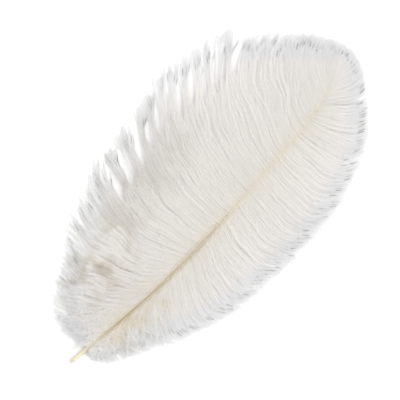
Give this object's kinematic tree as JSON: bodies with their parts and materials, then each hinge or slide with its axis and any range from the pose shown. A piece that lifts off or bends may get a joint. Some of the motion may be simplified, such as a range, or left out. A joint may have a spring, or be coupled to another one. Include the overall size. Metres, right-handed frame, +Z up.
{
  "type": "ostrich feather",
  "caption": "White ostrich plume lying flat: a slim, gently curved shaft with a hollow quill, and a wide vane of long, loose, downy barbs on each side.",
  "frame": {"origin": "the middle of the feather's box seen from above, on the flat surface that it lies on", "axes": "+X along the feather from the cut end of the quill to the tip, +Y to the left of the shaft seen from above with the tip ahead, where the wider vane is, +Z up out of the surface"},
  "size_m": [0.2992, 0.161, 0.008],
  "materials": {
    "shaft": "satin",
    "barbs": "matte"
  },
  "bodies": {
    "root": {"shaft": "shaft", "left_vane": "barbs", "right_vane": "barbs"}
  },
  "joints": []
}
